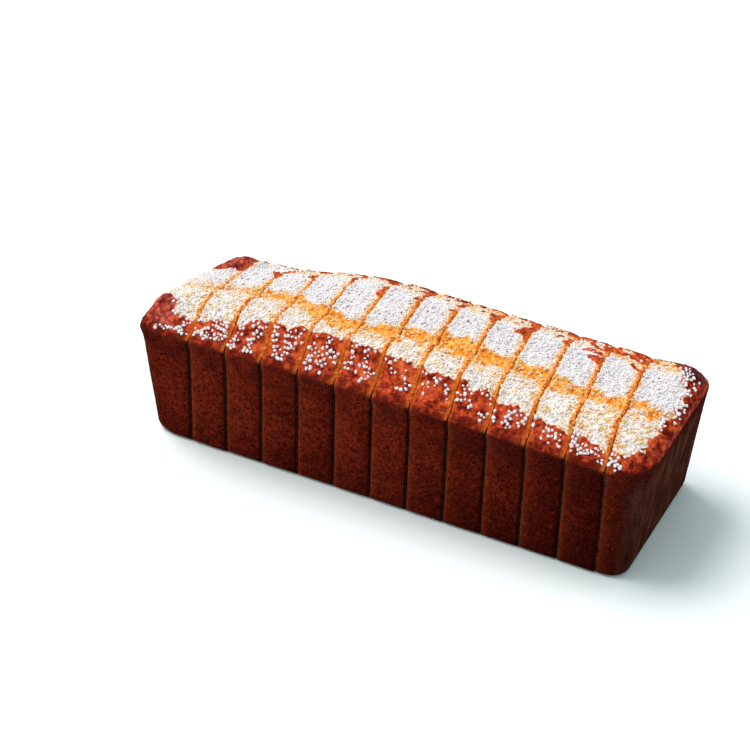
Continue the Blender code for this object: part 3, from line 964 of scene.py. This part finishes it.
def scatter(piece, layer, dice):
    spacing = sugar[layer]["spacing"]
    near = (-1, 0, 1)
    spots = []
    grid = {}
    low, high = piece.sides(0.0, loaf["lipHeight"])
    area = (high - low + 0.012) * sugar["overhang"]
    for _ in range(int(area / spacing ** 2 * sugar["tries"])):
        y = dice.uniform(-sugar["yMost"], sugar["yMost"])
        left, right = piece.sides(y, loaf["lipHeight"])
        x = dice.uniform(left, right)
        column, row = floor(x / spacing), floor(y / spacing)
        around = [spot for a in near for b in near for spot in grid.get((column + a, row + b), ())]
        if any((x - a) ** 2 + (y - b) ** 2 < spacing ** 2 for a, b in around):
            continue
        chance, tint = chanceAt(piece, layer, x, y)
        if layer != "loose":
            grid.setdefault((column, row), []).append((x, y))
        if dice.random() > chance:
            continue
        grid.setdefault((column, row), []).append((x, y))
        spots.append((x, y, tint))
    return spots


def landing(surface, x, y):  # where something dropped at x, y lies, and which way the crust faces there
    above = Vector((x, y, 0.15)) + loaf["place"]
    hit, normal, _, _ = surface.ray_cast(above, Vector((0.0, 0.0, -1.0)))
    return hit, normal


def tumbled(middle, size, dice):
    turn = Euler([dice.uniform(0.0, 2.0 * pi) for _ in range(3)]).to_matrix().to_4x4()
    return Matrix.Translation(middle) @ turn @ Matrix.Scale(size, 4)


def makeSugar(piece, surface, shapes):
    dice = Random(sugar["seed"] * 100 + piece.number)
    copies = []
    for layer in ("bed", "heap", "loose"):
        for x, y, tint in scatter(piece, layer, dice):
            hit, normal = landing(surface, x, y)
            if hit is None or normal.z < sugar["nearest"]:
                continue
            size = sugar[layer]["radius"] * (1.0 + dice.uniform(-1.0, 1.0) * sugar["spread"])
            rise = size * (sugar[layer]["rise"] + dice.uniform(-0.12, 0.18))
            middle = hit + normal * rise
            room = min(cadBox[1][0] - abs(middle.x), cadBox[1][1] - abs(middle.y), cadBox[1][2] - middle.z)
            if room < size * sugar["room"]:
                continue
            place = tumbled(middle, size, dice)
            shade = min(max(tint + dice.gauss(0.0, 0.04), 0.0), 1.0)
            copies.append((place, dice.randrange(len(shapes)), shade))
    return joinCopies(piece.name + "_sugar", shapes, copies, nibSugar)


crumbs = {
    "each": 230,               # crumbs beside the two cuts of a slice
    "dark": 8,                 # burnt specks that lie on the sugar
    "radius": 0.00036,
    "stray": 0.0011,           # how far from a cut they lie
    "right": 0.8,              # share of them at the right
    "run": (-0.050, 0.048),    # from front to back
    "sizes": (0.6, 1.6),
    "darkRun": (-0.030, 0.048),
    "darkSizes": (0.9, 1.5),
    "seed": 23,
}


def makeCrumbs(piece, surface, shapes):
    dice = Random(crumbs["seed"] * 100 + piece.number)
    copies = []
    for _ in range(crumbs["each"]):
        y = dice.uniform(*crumbs["run"])
        left, right = piece.sides(y, loaf["lipHeight"])
        away = abs(dice.gauss(0.0, crumbs["stray"]))
        atRight = piece.first or (dice.random() < crumbs["right"] and not piece.last)
        x = right - away if atRight else left + away
        field = coverAt(piece, x, y)[0]
        if dice.random() > 0.35 + 0.65 * field:
            continue
        hit, normal = landing(surface, x, y)
        if hit is None or normal.z < 0.3:
            continue
        size = crumbs["radius"] * dice.uniform(*crumbs["sizes"])
        place = tumbled(hit + normal * size * 0.4, size, dice)
        copies.append((place, dice.randrange(len(shapes)), dice.random() * (0.3 + 0.7 * field)))
    for _ in range(crumbs["dark"]):
        y = dice.uniform(*crumbs["darkRun"])
        left, right = piece.sides(y, loaf["lipHeight"])
        x = dice.uniform(left + 0.003, right - 0.003)
        hit, normal = landing(surface, x, y)
        if hit and hit.z < cadBox[1][2] - 0.002:
            size = crumbs["radius"] * dice.uniform(*crumbs["darkSizes"])
            place = Matrix.Translation(hit + normal * 0.0006) @ Matrix.Scale(size, 4)
            copies.append((place, dice.randrange(len(shapes)), 0.0))
    return joinCopies(piece.name + "_crumbs", shapes, copies, looseCrumb)


shapeDice = Random(sugar["seed"])
shapes = [nibShape(kind, shapeDice) for kind in range(sugar["kinds"])]
count = sum(makeSugar(piece, surface, shapes) for piece, surface in zip(pieces, surfaces))
print("sugar:", count, "faces")
count = sum(makeCrumbs(piece, surface, shapes) for piece, surface in zip(pieces, surfaces))
print("crumbs:", count, "faces")


studio = {
    "floorSize": 6.0,
    "floor": (0.93, 0.94, 0.94),
    "keyPower": 2.7,
    "keyFrom": (-0.75, 0.05, 1.25),
    "keySoft": radians(38.0),
    "sky": (0.77, 0.95, 0.96),
    "skyPower": 0.68,
    "camera": (0.52469, -1.09199, 0.98909),
    "cameraTurn": (52.526, 0.0, 26.912),
    "lens": 124.8,
}


def makeFloor():
    bm = bmesh.new()
    bmesh.ops.create_grid(bm, x_segments=8, y_segments=8, size=studio["floorSize"] / 2)
    mesh = bpy.data.meshes.new("paleFloor")
    bm.to_mesh(mesh)
    bm.free()
    recipe = Recipe("paleFloor", 0.7)
    haze = recipe.noise(0.5, 2.0)
    recipe.set(Base_Color=recipe.mix(studio["floor"], tuple(c * 0.995 for c in studio["floor"]), haze))
    mesh.materials.append(recipe.material)
    thing = bpy.data.objects.new("paleFloor", mesh)
    bpy.context.scene.collection.objects.link(thing)


def makeLight():
    key = bpy.data.lights.new("keyLight", "SUN")
    key.energy = studio["keyPower"]
    key.angle = studio["keySoft"]
    key.color = (1.0, 0.985, 0.965)
    lamp = bpy.data.objects.new("keyLight", key)
    lamp.rotation_euler = Vector(studio["keyFrom"]).to_track_quat("Z", "Y").to_euler()
    bpy.context.scene.collection.objects.link(lamp)
    world = bpy.data.worlds.new("studio")
    world.use_nodes = True
    background = world.node_tree.nodes["Background"]
    background.inputs["Color"].default_value = (*studio["sky"], 1.0)
    background.inputs["Strength"].default_value = studio["skyPower"]
    bpy.context.scene.world = world


def makeCamera():
    data = bpy.data.cameras.new("camera")
    data.sensor_width = 36.0
    data.lens = studio["lens"]
    camera = bpy.data.objects.new("camera", data)
    camera.location = studio["camera"]
    camera.rotation_euler = [radians(angle) for angle in studio["cameraTurn"]]
    bpy.context.scene.collection.objects.link(camera)
    bpy.context.scene.camera = camera


makeFloor()
makeLight()
makeCamera()
bpy.context.scene.view_settings.view_transform = "Standard"
print("studio: floor, light and camera")
